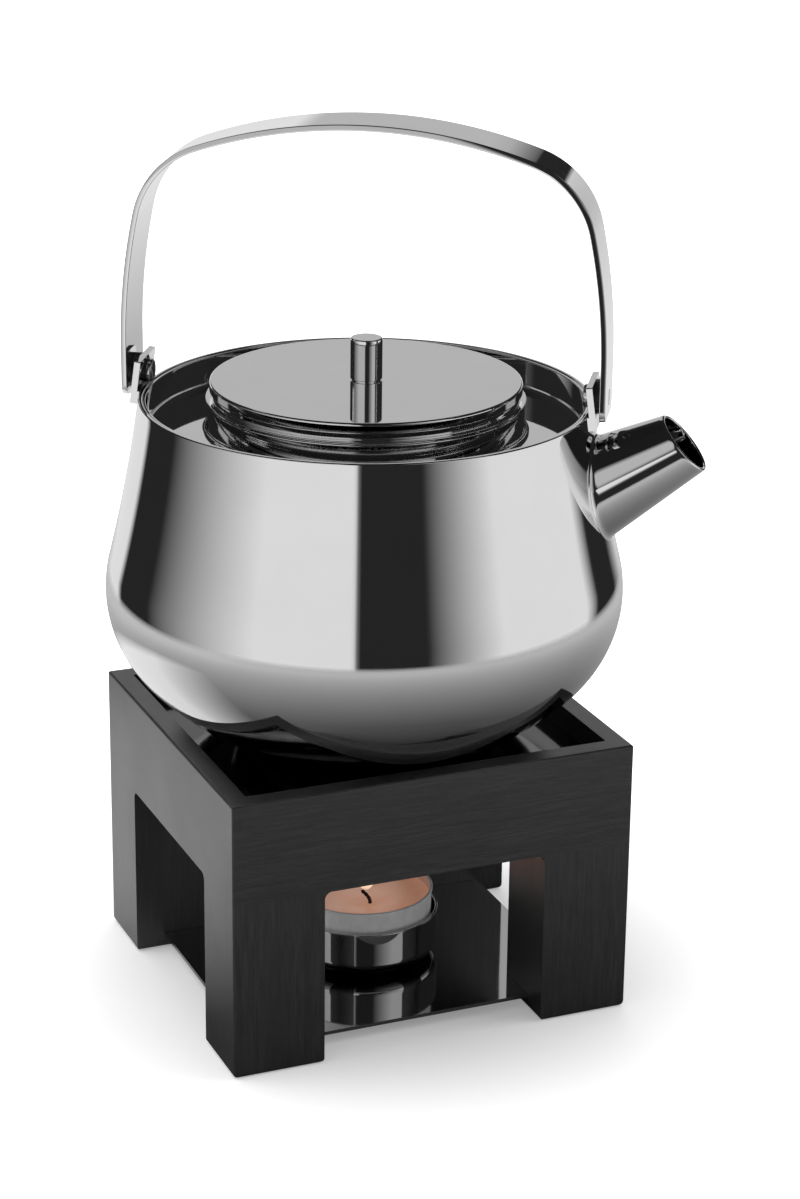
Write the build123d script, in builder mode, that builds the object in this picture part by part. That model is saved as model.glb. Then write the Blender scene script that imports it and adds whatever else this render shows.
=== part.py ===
from build123d import *
from math import asin, atan2, cos, degrees, radians, sin, sqrt, tan
import os

os.makedirs("parts", exist_ok=True)

# All sizes in millimetres, angles in degrees, height measured up from the table.

# Wooden stand, width along X and depth along Y
stand_w = 110.0
stand_h = 75.0
pot_nest_gap = 1.6
apron_h = 27.0
board_t = 5.5
leg_w = 24.5
leg_d = 21.5
arris_r = 0.6
foot_edge_r = 1.5
window_corner_r = 2.0

# Steel sheets carried by the stand
heat_recess = 6.0
heat_plate_t = 1.2
heat_plate_gap = 0.3
heat_hole_r = 23.0
heat_corner_r = 2.0
base_plate_t = 1.0
base_plate_lift = 3.4
base_inset_x = 8.0
base_inset_y = 8.0
slot_gap = 0.05

# Tealight and the cup that holds it
tealight_r = 18.7
tealight_h = 18.2
tealight_edge_r = 3.2
foil_t = 0.4
foil_lip = 0.35
foil_lip_h = 0.8
wax_drop = 3.0
wick_r = 0.7
wick_rise = 4.2
wick_lean = 2.6
wick_in_x = 0.2
wick_in_y = -5.0
clip_r = 6.0
clip_t = 0.3
clip_tube_r = 1.2
clip_tube_h = 3.0
holder_wall = 0.8
holder_gap = 1.0
holder_h = 13.4
holder_edge_r = 5.0

# Pot shell, drawn from the rim down; slopes measured from straight down, inward positive
rim_r = 58.2
wall_t = 1.2
rim_t = 1.2
rim_land_h = 3.0
wall_top_slope = -7.8
wall_low_slope = -14.0
wall_bend_r = 400.0
crown_r = 33.0
crown_slope = 45.0
bowl_r = 80.0
bowl_slope = 66.5
level_slope = 90.0
base_edge_r = 12.0
pot_turn = -32.7

# Recessed deck with the neck that carries the lid
deck_drop = 8.6
deck_t = 0.8
deck_corner_r = 1.6
neck_r = 40.6
neck_h = 8.0
mouth_r = 35.6
weld_gap = 0.02
rim_flush = 0.3

# Lid and knob
lid_r = 40.0
lid_h = 5.2
lid_lip_r = 41.0
lid_lip_h = 0.8
lid_band_h = 2.4
lid_waist_depth = 0.7
lid_edge_r = 0.6
lid_t = 1.0
skirt_gap = 0.4
skirt_t = 0.8
skirt_h = 9.0
skirt_flange = 2.0
knob_r = 4.1
knob_h = 11.0
knob_foot_h = 0.5
knob_foot_in = 0.4
knob_edge_r = 0.4
screw_r = 1.5
screw_len = 8.0
screw_head_r = 2.8
screw_head_h = 1.8
screw_gap = 0.02

# Spout, a tapering tube whose axis rises away from the pot
spout_rise = 30.5
spout_taper = 9.5
spout_mouth_r = 8.5
spout_t = 1.0
spout_out = 23.8
spout_mouth_drop = 7.3
spout_cut_slope = 41.5
spout_seam_w = 1.1
spout_seam_t = 0.6
strainer_r = 1.4
strainer_pitch = 4.4

# Bail, its brackets and pivots
bracket_w = 16.0
bracket_t = 1.6
bracket_up = 7.8
bracket_down = 3.4
bracket_corner_r = 0.4
pin_up = 3.6
pin_r = 2.0
pin_gap = 0.08
pin_head_r = 3.0
pin_head_h = 1.2
bush_r = 4.4
bush_reach = 2.45
bush_sleeve_r = 3.1
bush_inner = 0.6
pivot_gap = 0.05
strap_w = 17.5
strap_t = 1.5
strap_below_pin = 5.0
strap_end_r = 3.0
arm_straight = 8.5
arm_bend_r = 160.0
arm_slope = 12.4
shoulder_r = 24.2
shoulder_slope = 70.8

# Heights that follow from the sizes above
plate_top = stand_h - heat_recess
plate_under = plate_top - heat_plate_t
window_h = stand_h - apron_h
base_top = base_plate_lift + base_plate_t


# One bend of a wall outline: start point, slopes before and after, bend radius.
# Gives the middle and end points.
def bend(start, slope_in, slope_out, radius):
    side = 1.0 if slope_out > slope_in else -1.0
    points = []
    for slope in ((slope_in + slope_out) / 2.0, slope_out):
        across = side * radius * (cos(radians(slope)) - cos(radians(slope_in)))
        down = side * radius * (sin(radians(slope)) - sin(radians(slope_in)))
        points.append((start[0] + across, start[1] - down))
    return points


# The wall outline from the rim down to the edge of the flat base, set in by the given depth
def wall_outline(start, slope_in, depth):
    wall_mid, wall_end = bend(start, slope_in, wall_low_slope, wall_bend_r + depth)
    crown_mid, crown_end = bend(wall_end, wall_low_slope, crown_slope, crown_r - depth)
    bowl_mid, bowl_end = bend(crown_end, crown_slope, bowl_slope, bowl_r - depth)
    edge_mid, edge_end = bend(bowl_end, bowl_slope, level_slope, base_edge_r - depth)
    return [
        (start, wall_mid, wall_end),
        (wall_end, crown_mid, crown_end),
        (crown_end, bowl_mid, bowl_end),
        (bowl_end, edge_mid, edge_end),
    ]


# The pot stands with its base on the heat plate, which fixes the height of the rim
outline_from_zero = wall_outline((rim_r, 0.0), wall_top_slope, 0.0)
pot_depth = -outline_from_zero[3][2][1]
rim_z = plate_top + pot_depth
belly_r = outline_from_zero[1][0][0] + crown_r * (1.0 - cos(radians(wall_low_slope)))
outer_wall = wall_outline((rim_r, rim_z), wall_top_slope, 0.0)

# The bowl nests inside the apron boards, which fixes how deep the stand is from front to back
bowl_top = outer_wall[2][0]
bowl_mid_r = bowl_top[0] - bowl_r * cos(radians(crown_slope))
bowl_mid_z = bowl_top[1] + bowl_r * sin(radians(crown_slope))
nest_r = bowl_mid_r + sqrt(bowl_r**2 - (bowl_mid_z - stand_h) ** 2)
stand_d = 2.0 * (nest_r + pot_nest_gap + board_t)

deck_z = rim_z - deck_drop
spout_reach = rim_r + spout_out
seat_z = deck_z + neck_h
lid_top = seat_z + lid_h
knob_top = lid_top + knob_h
land_r = rim_r - rim_t
pin_z = rim_z + pin_up
spout_mouth_z = rim_z - spout_mouth_drop

# The origin is under the middle of the whole outline, so the pot axis sits off it by half
# of what the spout reaches beyond the belly
turn_cos = cos(radians(pot_turn))
turn_sin = sin(radians(pot_turn))
cut_half = spout_mouth_r / cos(radians(spout_cut_slope - spout_rise))
mouth_far = spout_reach + cut_half * sin(radians(spout_cut_slope))
mouth_side = spout_mouth_r * sqrt(1.0 - turn_cos**2)
mouth_mid_x = spout_reach * turn_cos
mouth_swing = cut_half * sin(radians(spout_cut_slope)) * turn_cos
spout_x = mouth_mid_x + sqrt(mouth_swing**2 + mouth_side**2)
axis_x = -(spout_x - belly_r) / 2.0

# Directions of the pot: along the spout, and across it
along = Vector(turn_cos, turn_sin, 0.0)
across = Vector(-turn_sin, turn_cos, 0.0)
pot_foot = Vector(axis_x, 0.0, 0.0)
pot_axis = Axis((axis_x, 0.0, 0.0), (0.0, 0.0, 1.0))
stand_axis = pot_axis
pot_side = Plane(origin=pot_foot, x_dir=along, z_dir=-across)
pot_lathe = Plane(origin=pot_foot, x_dir=across, z_dir=along)


def pot_level(height):
    return Plane(origin=pot_foot + Vector(0.0, 0.0, height), x_dir=along, z_dir=(0, 0, 1))


def stand_level(height):
    return Plane(origin=(axis_x, 0.0, height), x_dir=(1, 0, 0), z_dir=(0, 0, 1))


# A plane square to the pivot line at a distance out from the pot axis, on one side of it
def pivot_plane(side, out):
    origin = pot_foot + along * (side * out) + Vector(0.0, 0.0, pin_z)
    return Plane(origin=origin, x_dir=across * side, z_dir=along * side)


# Apron boards, one mitred ring cut into four
def apron_ring():
    with BuildPart(mode=Mode.PRIVATE) as ring:
        with BuildSketch(stand_level(window_h)):
            Rectangle(stand_w, stand_d)
        extrude(amount=apron_h)
        outer = ring.edges().filter_by(Axis.Z)
        top = ring.faces().sort_by(Axis.Z)[-1].edges()
        fillet(outer + top, radius=arris_r)
        with BuildSketch(stand_level(window_h)):
            Rectangle(stand_w - 2.0 * board_t, stand_d - 2.0 * board_t)
        extrude(amount=apron_h, mode=Mode.SUBTRACT)
    return ring.part


# One quarter of the ring in plan, cut at the mitres: front, right, back and left in turn
def mitre_wedge(turn):
    outer = [(-stand_w, -stand_d), (stand_w, -stand_d), (stand_w, stand_d), (-stand_w, stand_d)]
    corners = [(x / 2.0, y / 2.0) for x, y in outer]
    inner = [
        (x - board_t * (1.0 if x > 0.0 else -1.0), y - board_t * (1.0 if y > 0.0 else -1.0))
        for x, y in corners
    ]
    after = (turn + 1) % 4
    return [corners[turn], corners[after], inner[after], inner[turn]]


def make_apron(turn):
    with BuildPart(mode=Mode.PRIVATE) as board:
        add(ring_solid)
        with BuildSketch(stand_level(window_h)):
            with BuildLine():
                Polyline(*mitre_wedge(turn), close=True)
            make_face()
        extrude(amount=apron_h, mode=Mode.INTERSECT)
    return board.part


ring_solid = apron_ring()

with BuildPart() as apron_front:
    add(make_apron(0))

with BuildPart() as apron_right:
    add(make_apron(1))

with BuildPart() as apron_back:
    add(make_apron(2))

with BuildPart() as apron_left:
    add(make_apron(3))


# Legs: a thick foot up to the boards with a rounded corner block under each of them, a post
# behind the boards that carries the heat plate, and a slot for the corner of the base plate
slot_w = stand_w / 2.0 - base_inset_x + slot_gap
slot_d = stand_d / 2.0 - base_inset_y + slot_gap
slot_h = base_plate_t + 2.0 * slot_gap


# A block that rounds a window corner, drawn across the board's face from the face of the leg
def corner_block(plane, leg_face, side, depth):
    low = window_h - window_corner_r
    with BuildPart(mode=Mode.PRIVATE) as block:
        with BuildSketch(plane):
            with Locations((leg_face - side * window_corner_r / 2.0, low + window_corner_r / 2.0)):
                Rectangle(window_corner_r, window_corner_r)
            with Locations((leg_face - side * window_corner_r, low)):
                Circle(window_corner_r, mode=Mode.SUBTRACT)
        extrude(amount=depth)
    return block.part


def make_leg(side_x, side_y):
    outer_x = side_x * stand_w / 2.0
    outer_y = side_y * stand_d / 2.0
    with BuildPart(mode=Mode.PRIVATE) as leg:
        with BuildSketch(stand_level(0.0)):
            with Locations((outer_x - side_x * leg_w / 2.0, outer_y - side_y * leg_d / 2.0)):
                Rectangle(leg_w, leg_d)
        extrude(amount=window_h)
        corner = leg.edges().filter_by(Axis.Z).sort_by(
            lambda e: side_x * e.center().X + side_y * e.center().Y
        )[-1]
        fillet(corner, radius=arris_r)
        fillet(leg.faces().sort_by(Axis.Z)[0].edges(), radius=foot_edge_r)
        front_plane = Plane(origin=(axis_x, outer_y, 0.0), x_dir=(1, 0, 0), z_dir=(0, -1, 0))
        side_plane = Plane(origin=(axis_x + outer_x, 0.0, 0.0), x_dir=(0, 1, 0), z_dir=(1, 0, 0))
        add(corner_block(front_plane, outer_x - side_x * leg_w, side_x, side_y * board_t))
        add(corner_block(side_plane, outer_y - side_y * leg_d, side_y, -side_x * board_t))
        post_w = leg_w - board_t
        post_d = leg_d - board_t
        with BuildSketch(stand_level(window_h)):
            with Locations(
                (
                    outer_x - side_x * (board_t + post_w / 2.0),
                    outer_y - side_y * (board_t + post_d / 2.0),
                )
            ):
                Rectangle(post_w, post_d)
        extrude(amount=plate_under - window_h)
        with BuildSketch(stand_level(base_plate_lift - slot_gap)):
            with Locations((side_x * slot_w / 2.0, side_y * slot_d / 2.0)):
                Rectangle(slot_w, slot_d)
        extrude(amount=slot_h, mode=Mode.SUBTRACT)
    return leg.part


with BuildPart() as leg_front_left:
    add(make_leg(-1.0, -1.0))

with BuildPart() as leg_front_right:
    add(make_leg(1.0, -1.0))

with BuildPart() as leg_back_left:
    add(make_leg(-1.0, 1.0))

with BuildPart() as leg_back_right:
    add(make_leg(1.0, 1.0))

# Polished base plate held in the leg slots
with BuildPart() as base_plate:
    with BuildSketch(stand_level(base_plate_lift)):
        Rectangle(stand_w - 2.0 * base_inset_x, stand_d - 2.0 * base_inset_y)
    extrude(amount=base_plate_t)

# Heat plate with the hole the flame works through
heat_w = stand_w - 2.0 * (board_t + heat_plate_gap)
heat_d = stand_d - 2.0 * (board_t + heat_plate_gap)

with BuildPart() as heat_plate:
    with BuildSketch(stand_level(plate_under)):
        RectangleRounded(heat_w, heat_d, heat_corner_r)
        Circle(heat_hole_r, mode=Mode.SUBTRACT)
    extrude(amount=heat_plate_t)

# Holder cup welded on the base plate
holder_r = tealight_r + holder_gap + holder_wall
holder_rim = base_top + holder_h
holder_floor = base_top + holder_wall

with BuildPart() as tealight_holder:
    with BuildSketch(stand_level(base_top)):
        Circle(holder_r)
    extrude(amount=holder_h)
    fillet(tealight_holder.faces().sort_by(Axis.Z)[0].edges(), radius=holder_edge_r)
    offset(amount=-holder_wall, openings=tealight_holder.faces().sort_by(Axis.Z)[-1])

# Tealight: foil cup, wax, wick and the clip that holds the wick
foil_floor = holder_floor + foil_t
foil_rim = holder_floor + tealight_h
wax_top = foil_rim - wax_drop
wax_gap = 0.02
wick_x = axis_x + wick_in_x


def wick_level(height):
    return Plane(origin=(wick_x, wick_in_y, height), x_dir=(1, 0, 0), z_dir=(0, 0, 1))


with BuildPart() as tealight_cup:
    with BuildSketch(stand_level(holder_floor)):
        Circle(tealight_r)
    extrude(amount=tealight_h)
    fillet(tealight_cup.faces().sort_by(Axis.Z)[0].edges(), radius=tealight_edge_r)
    offset(amount=-foil_t, openings=tealight_cup.faces().sort_by(Axis.Z)[-1])
    with BuildSketch(stand_level(foil_rim - foil_lip_h)):
        Circle(tealight_r + foil_lip)
        Circle(tealight_r - foil_t, mode=Mode.SUBTRACT)
    extrude(amount=foil_lip_h)

with BuildPart() as wick_clip:
    with BuildSketch(wick_level(foil_floor)):
        Circle(clip_r)
        Circle(wick_r, mode=Mode.SUBTRACT)
    extrude(amount=clip_t)
    with BuildSketch(wick_level(foil_floor)):
        Circle(clip_tube_r)
        Circle(wick_r, mode=Mode.SUBTRACT)
    extrude(amount=clip_tube_h)

with BuildPart() as wick:
    with BuildLine() as wick_path:
        Line(
            (wick_x, wick_in_y, foil_floor),
            (wick_x, wick_in_y, wax_top),
        )
        Spline(
            (wick_x, wick_in_y, wax_top),
            (wick_x - wick_lean, wick_in_y, wax_top + wick_rise),
            tangents=((0, 0, 1), (-1, 0, 0.6)),
        )
    with BuildSketch(wick_level(foil_floor)):
        Circle(wick_r - wax_gap)
    sweep(path=wick_path.line)

with BuildPart() as wax:
    with BuildSketch(stand_level(foil_floor)):
        Circle(tealight_r - foil_t - wax_gap)
    extrude(amount=wax_top - foil_floor)
    fillet(wax.faces().sort_by(Axis.Z)[0].edges(), radius=tealight_edge_r - foil_t)
    with BuildSketch(wick_level(foil_floor)):
        Circle(wick_r)
    extrude(amount=wax_top - foil_floor, mode=Mode.SUBTRACT)
    with BuildSketch(wick_level(foil_floor)):
        Circle(clip_r + wax_gap)
    extrude(amount=clip_t + wax_gap, mode=Mode.SUBTRACT)
    with BuildSketch(wick_level(foil_floor)):
        Circle(clip_tube_r + wax_gap)
    extrude(amount=clip_tube_h + wax_gap, mode=Mode.SUBTRACT)


# The pot filled solid, set out from its outer wall by the given amount
def pot_block(out):
    start = (
        rim_r + out * cos(radians(wall_top_slope)),
        rim_z - out * sin(radians(wall_top_slope)),
    )
    with BuildPart(mode=Mode.PRIVATE) as block:
        with BuildSketch(pot_lathe):
            with BuildLine():
                parts = wall_outline(start, wall_top_slope, -out)
                for first, middle, last in parts:
                    ThreePointArc(first, middle, last)
                foot = parts[3][2]
                Polyline(foot, (0.0, foot[1]), (0.0, start[1]), start)
            make_face()
        revolve(axis=pot_axis)
    return block.part


# Pot shell: outer wall, base, inner wall, and a straight land inside the rim
inner_start = (
    rim_r - wall_t * cos(radians(wall_top_slope)),
    rim_z + wall_t * sin(radians(wall_top_slope)),
)
land_drop = rim_land_h + wall_t * sin(radians(wall_top_slope))
land_slope = degrees(asin(sin(radians(wall_top_slope)) - land_drop / (wall_bend_r + wall_t)))
land_point = bend(inner_start, wall_top_slope, land_slope, wall_bend_r + wall_t)[1]
inner_wall = wall_outline(land_point, land_slope, wall_t)

# Spout axis: where it starts inside the pot, and its direction
spout_dir = along * cos(radians(spout_rise)) + Vector(0.0, 0.0, sin(radians(spout_rise)))
spout_mouth = pot_foot + along * spout_reach + Vector(0.0, 0.0, spout_mouth_z)
spout_root_len = (spout_reach - belly_r * 0.75) / cos(radians(spout_rise))
spout_tip_len = 2.0 * spout_mouth_r
taper = tan(radians(spout_taper))


def spout_plane(back):
    return Plane(origin=spout_mouth - spout_dir * back, x_dir=across, z_dir=spout_dir)


# A cone around the spout axis, thicker or thinner than the spout by the given amount
def spout_cone(extra, start_back):
    start_r = spout_mouth_r + start_back * taper + extra
    end_r = spout_mouth_r - spout_tip_len * taper + extra
    with BuildPart(mode=Mode.PRIVATE) as cone:
        with BuildSketch(pot_lathe):
            with BuildLine():
                Polyline(
                    (0.0, 0.0),
                    (start_r, 0.0),
                    (end_r, start_back + spout_tip_len),
                    (0.0, start_back + spout_tip_len),
                    close=True,
                )
            make_face()
        revolve(axis=pot_axis)
    home = Plane(origin=pot_foot, x_dir=along, z_dir=(0, 0, 1))
    return spout_plane(start_back).location * (home.location.inverse() * cone.part)


pot_solid = pot_block(0.0)
pot_seam_solid = pot_block(spout_seam_w)
outer_cone = spout_cone(0.0, spout_root_len)
inner_cone = spout_cone(-spout_t, spout_root_len)
seam_cone = spout_cone(spout_seam_t, spout_root_len)

with BuildPart() as pot_body:
    with BuildSketch(pot_lathe):
        with BuildLine():
            for first, middle, last in outer_wall:
                ThreePointArc(first, middle, last)
            base_in = inner_wall[3][2]
            Polyline(outer_wall[3][2], (0.0, plate_top), (0.0, base_in[1]), base_in)
            for first, middle, last in inner_wall:
                ThreePointArc(first, middle, last)
            Polyline(land_point, (land_r, land_point[1]), (land_r, rim_z), (rim_r, rim_z))
        make_face()
    revolve(axis=pot_axis)
    with BuildSketch(spout_plane(spout_root_len)):
        Circle(strainer_r)
        with PolarLocations(strainer_pitch, 6):
            Circle(strainer_r)
        with PolarLocations(2.0 * strainer_pitch * cos(radians(15.0)), 12):
            Circle(strainer_r)
    extrude(amount=spout_root_len, mode=Mode.SUBTRACT)

# Spout tube: cut to the wall it is welded on, open right through, with a level-leaning mouth
mouth_cut = Plane(
    origin=spout_mouth,
    x_dir=across,
    z_dir=along * cos(radians(spout_cut_slope)) + Vector(0, 0, sin(radians(spout_cut_slope))),
)
cut_size = 6.0 * spout_mouth_r

with BuildPart() as spout:
    add(outer_cone)
    add(pot_solid, mode=Mode.SUBTRACT)
    add(seam_cone & pot_seam_solid - pot_solid)
    add(inner_cone, mode=Mode.SUBTRACT)
    with BuildSketch(mouth_cut):
        Rectangle(cut_size, cut_size)
    extrude(amount=cut_size, mode=Mode.SUBTRACT)

# Deck pressing: flange inside the rim, floor, neck and the seat ring for the lid
flange_r = land_r - weld_gap
flange_top = rim_z - rim_flush
flange_in = flange_r - deck_t
neck_in = neck_r - deck_t

with BuildPart() as pot_deck:
    with BuildSketch(pot_lathe) as deck_profile:
        with BuildLine():
            Polyline(
                (flange_r, flange_top),
                (flange_r, deck_z - deck_t),
                (neck_in, deck_z - deck_t),
                (neck_in, seat_z - deck_t),
                (mouth_r, seat_z - deck_t),
                (mouth_r, seat_z),
                (neck_r, seat_z),
                (neck_r, deck_z),
                (flange_in, deck_z),
                (flange_in, flange_top),
                close=True,
            )
        make_face()
        fillet(deck_profile.vertices().group_by(Axis.Y)[0], radius=deck_corner_r + deck_t)
        fillet(deck_profile.vertices().group_by(Axis.Y)[1], radius=deck_corner_r)
    revolve(axis=pot_axis)

# Lid: cap, skirt that drops into the neck, knob and the screw that holds it
cap_in = lid_top - lid_t
waist_r = lid_r - lid_waist_depth
cap_hollow_r = waist_r - lid_t

with BuildPart() as lid_cap:
    with BuildSketch(pot_lathe) as cap_profile:
        with BuildLine():
            Polyline(
                (screw_r + screw_gap, lid_top),
                (lid_r, lid_top),
                (lid_r, lid_top - lid_band_h),
                (waist_r, lid_top - lid_band_h - lid_waist_depth),
                (waist_r, seat_z + lid_lip_h),
                (lid_lip_r, seat_z + lid_lip_h),
                (lid_lip_r, seat_z),
                (cap_hollow_r, seat_z),
                (cap_hollow_r, cap_in),
                (screw_r + screw_gap, cap_in),
                close=True,
            )
        make_face()
        top_edge = cap_profile.vertices().group_by(Axis.Y)[-1].sort_by(Axis.X)[-1]
        fillet(top_edge, radius=lid_edge_r)
    revolve(axis=pot_axis)

skirt_r = mouth_r - skirt_gap

with BuildPart() as lid_skirt:
    with BuildSketch(pot_lathe):
        with BuildLine():
            Polyline(
                (skirt_r - skirt_t, cap_in - weld_gap),
                (skirt_r + skirt_flange, cap_in - weld_gap),
                (skirt_r + skirt_flange, cap_in - weld_gap - skirt_t),
                (skirt_r, cap_in - weld_gap - skirt_t),
                (skirt_r, seat_z - skirt_h),
                (skirt_r - skirt_t, seat_z - skirt_h),
                close=True,
            )
        make_face()
    revolve(axis=pot_axis)

with BuildPart() as lid_knob:
    with BuildSketch(pot_level(lid_top)):
        Circle(knob_r - knob_foot_in)
    extrude(amount=knob_foot_h)
    with BuildSketch(pot_level(lid_top + knob_foot_h)):
        Circle(knob_r)
    extrude(amount=knob_h - knob_foot_h)
    fillet(lid_knob.faces().sort_by(Axis.Z)[-1].edges(), radius=knob_edge_r)
    with BuildSketch(pot_level(lid_top)):
        Circle(screw_r + screw_gap)
    extrude(amount=screw_len - lid_t + screw_gap, mode=Mode.SUBTRACT)

with BuildPart() as knob_screw:
    with BuildSketch(pot_level(cap_in)):
        Circle(screw_r)
    extrude(amount=screw_len)
    with BuildSketch(pot_level(cap_in)):
        Circle(screw_head_r)
    extrude(amount=-screw_head_h)


# Bracket: a flat plate leaning with the wall, welded on it and standing above the rim
def make_bracket(side):
    lean = radians(wall_top_slope)
    up = Vector(0, 0, cos(lean)) + along * (side * sin(lean))
    out = along * (side * cos(lean)) - Vector(0, 0, sin(lean))
    root = pot_foot + along * (side * rim_r) + Vector(0.0, 0.0, rim_z)
    middle = root + up * ((bracket_up - bracket_down) / 2.0)
    height = bracket_up + bracket_down
    face_plane = Plane(origin=middle + out * bracket_t, x_dir=up.cross(out), z_dir=out)
    with BuildPart(mode=Mode.PRIVATE) as bracket:
        with BuildSketch(face_plane):
            RectangleRounded(bracket_w, height, bracket_corner_r)
        extrude(amount=-bracket_t)
        with BuildSketch(face_plane):
            with Locations((0.0, -bracket_up / 2.0)):
                Rectangle(bracket_w, bracket_down)
        extrude(amount=-2.0 * bracket_t)
        add(pot_solid, mode=Mode.SUBTRACT)
        with BuildSketch(pivot_plane(side, 0.0)):
            Circle(bush_sleeve_r)
        extrude(amount=2.0 * rim_r, mode=Mode.SUBTRACT)
    return bracket.part


with BuildPart() as bracket_spout_side:
    add(make_bracket(1.0))

with BuildPart() as bracket_far_side:
    add(make_bracket(-1.0))

bush_end = rim_r + bush_reach
bracket_in_at_pin = rim_r - pin_up * tan(radians(-wall_top_slope))
bush_start = bracket_in_at_pin - bush_inner


# Bush: sleeve through the bracket with a collar that spaces the strap off it
def make_bush(side):
    lean = radians(wall_top_slope)
    out = along * (side * cos(lean)) - Vector(0, 0, sin(lean))
    root = pot_foot + along * (side * rim_r) + Vector(0.0, 0.0, rim_z)
    bracket_face = Plane(origin=root + out * bracket_t, x_dir=across, z_dir=out)
    with BuildPart(mode=Mode.PRIVATE) as bush:
        with BuildSketch(pivot_plane(side, bush_start)):
            Circle(bush_r)
        extrude(amount=bush_end - bush_start)
        with BuildSketch(bracket_face):
            Rectangle(6.0 * bush_r, 6.0 * bush_r)
        extrude(amount=-2.0 * bush_r, mode=Mode.SUBTRACT)
        with BuildSketch(pivot_plane(side, bush_start)):
            Circle(bush_sleeve_r)
        extrude(amount=bush_end - bush_start)
        with BuildSketch(pivot_plane(side, bush_start)):
            Circle(pin_r + pin_gap)
        extrude(amount=bush_end - bush_start, mode=Mode.SUBTRACT)
    return bush.part


with BuildPart() as bush_spout_side:
    add(make_bush(1.0))

with BuildPart() as bush_far_side:
    add(make_bush(-1.0))

# Bail strap: straight arms, a gentle bend, tight shoulders and a long top arch
strap_out = bush_end + pivot_gap + strap_t
strap_foot = pin_z - strap_below_pin


# Half of the strap outline at the given depth inside its outer face
def strap_half(depth):
    foot = (strap_out - depth, strap_foot)
    knee = (strap_out - depth, pin_z + arm_straight)
    points = [foot, knee]
    place = knee
    for radius, slope_in, slope_out in (
        (arm_bend_r - depth, 0.0, arm_slope),
        (shoulder_r - depth, arm_slope, shoulder_slope),
    ):
        for slope in ((slope_in + slope_out) / 2.0, slope_out):
            step = radius * (cos(radians(slope)) - cos(radians(slope_in)))
            rise = radius * (sin(radians(slope)) - sin(radians(slope_in)))
            points.append((place[0] + step, place[1] + rise))
        place = points[-1]
    top_r = place[0] / cos(radians(shoulder_slope))
    top_mid = (shoulder_slope + level_slope) / 2.0
    for slope in (top_mid, level_slope):
        step = top_r * (cos(radians(slope)) - cos(radians(shoulder_slope)))
        rise = top_r * (sin(radians(slope)) - sin(radians(shoulder_slope)))
        points.append((place[0] + step, place[1] + rise))
    points[-1] = (0.0, points[-1][1])
    return points


def strap_lines(points, side):
    places = [(side * p[0], p[1]) for p in points]
    Line(places[0], places[1])
    ThreePointArc(places[1], places[2], places[3])
    ThreePointArc(places[3], places[4], places[5])
    ThreePointArc(places[5], places[6], places[7])


strap_outer = strap_half(0.0)
strap_inner = strap_half(strap_t)

with BuildPart() as bail_strap:
    with BuildSketch(pot_side):
        with BuildLine():
            for side in (1.0, -1.0):
                strap_lines(strap_outer, side)
                strap_lines(strap_inner, side)
                Line(
                    (side * strap_outer[0][0], strap_foot),
                    (side * strap_inner[0][0], strap_foot),
                )
        make_face()
    extrude(amount=strap_w / 2.0, both=True)
    ends = bail_strap.edges().filter_by(Axis((0, 0, 0), tuple(along))).group_by(Axis.Z)[0]
    fillet(ends, radius=strap_end_r)
    for side in (1.0, -1.0):
        with BuildSketch(pivot_plane(side, bush_end)):
            Circle(pin_r)
        extrude(amount=2.0 * strap_t, mode=Mode.SUBTRACT)


# Pivot pin: fixed in the strap, running in the bush, with a head inside the bracket
def make_pin(side):
    head_face = bush_start - pivot_gap
    with BuildPart(mode=Mode.PRIVATE) as pin:
        with BuildSketch(pivot_plane(side, head_face)):
            Circle(pin_r - weld_gap)
        extrude(amount=strap_out - head_face)
        with BuildSketch(pivot_plane(side, head_face - pin_head_h)):
            Circle(pin_head_r)
        extrude(amount=pin_head_h)
    return pin.part


with BuildPart() as bail_pins:
    add(make_pin(1.0))
    add(make_pin(-1.0))

nodes = {
    "apron_front": apron_front,
    "apron_right": apron_right,
    "apron_back": apron_back,
    "apron_left": apron_left,
    "leg_front_left": leg_front_left,
    "leg_front_right": leg_front_right,
    "leg_back_left": leg_back_left,
    "leg_back_right": leg_back_right,
    "base_plate": base_plate,
    "heat_plate": heat_plate,
    "tealight_holder": tealight_holder,
    "tealight_cup": tealight_cup,
    "wax": wax,
    "wick": wick,
    "wick_clip": wick_clip,
    "pot_body": pot_body,
    "pot_deck": pot_deck,
    "spout": spout,
    "lid_cap": lid_cap,
    "lid_skirt": lid_skirt,
    "lid_knob": lid_knob,
    "knob_screw": knob_screw,
    "bracket_spout_side": bracket_spout_side,
    "bracket_far_side": bracket_far_side,
    "bush_spout_side": bush_spout_side,
    "bush_far_side": bush_far_side,
    "bail_strap": bail_strap,
    "bail_pins": bail_pins,
}

for name, piece in nodes.items():
    piece.part.label = name
    export_step(piece.part, "parts/" + name + ".step")
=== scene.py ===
from math import asin, ceil, cos, degrees, pi, radians, sin, sqrt, tan

import bmesh
import bpy
from mathutils import Matrix, Vector


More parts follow.
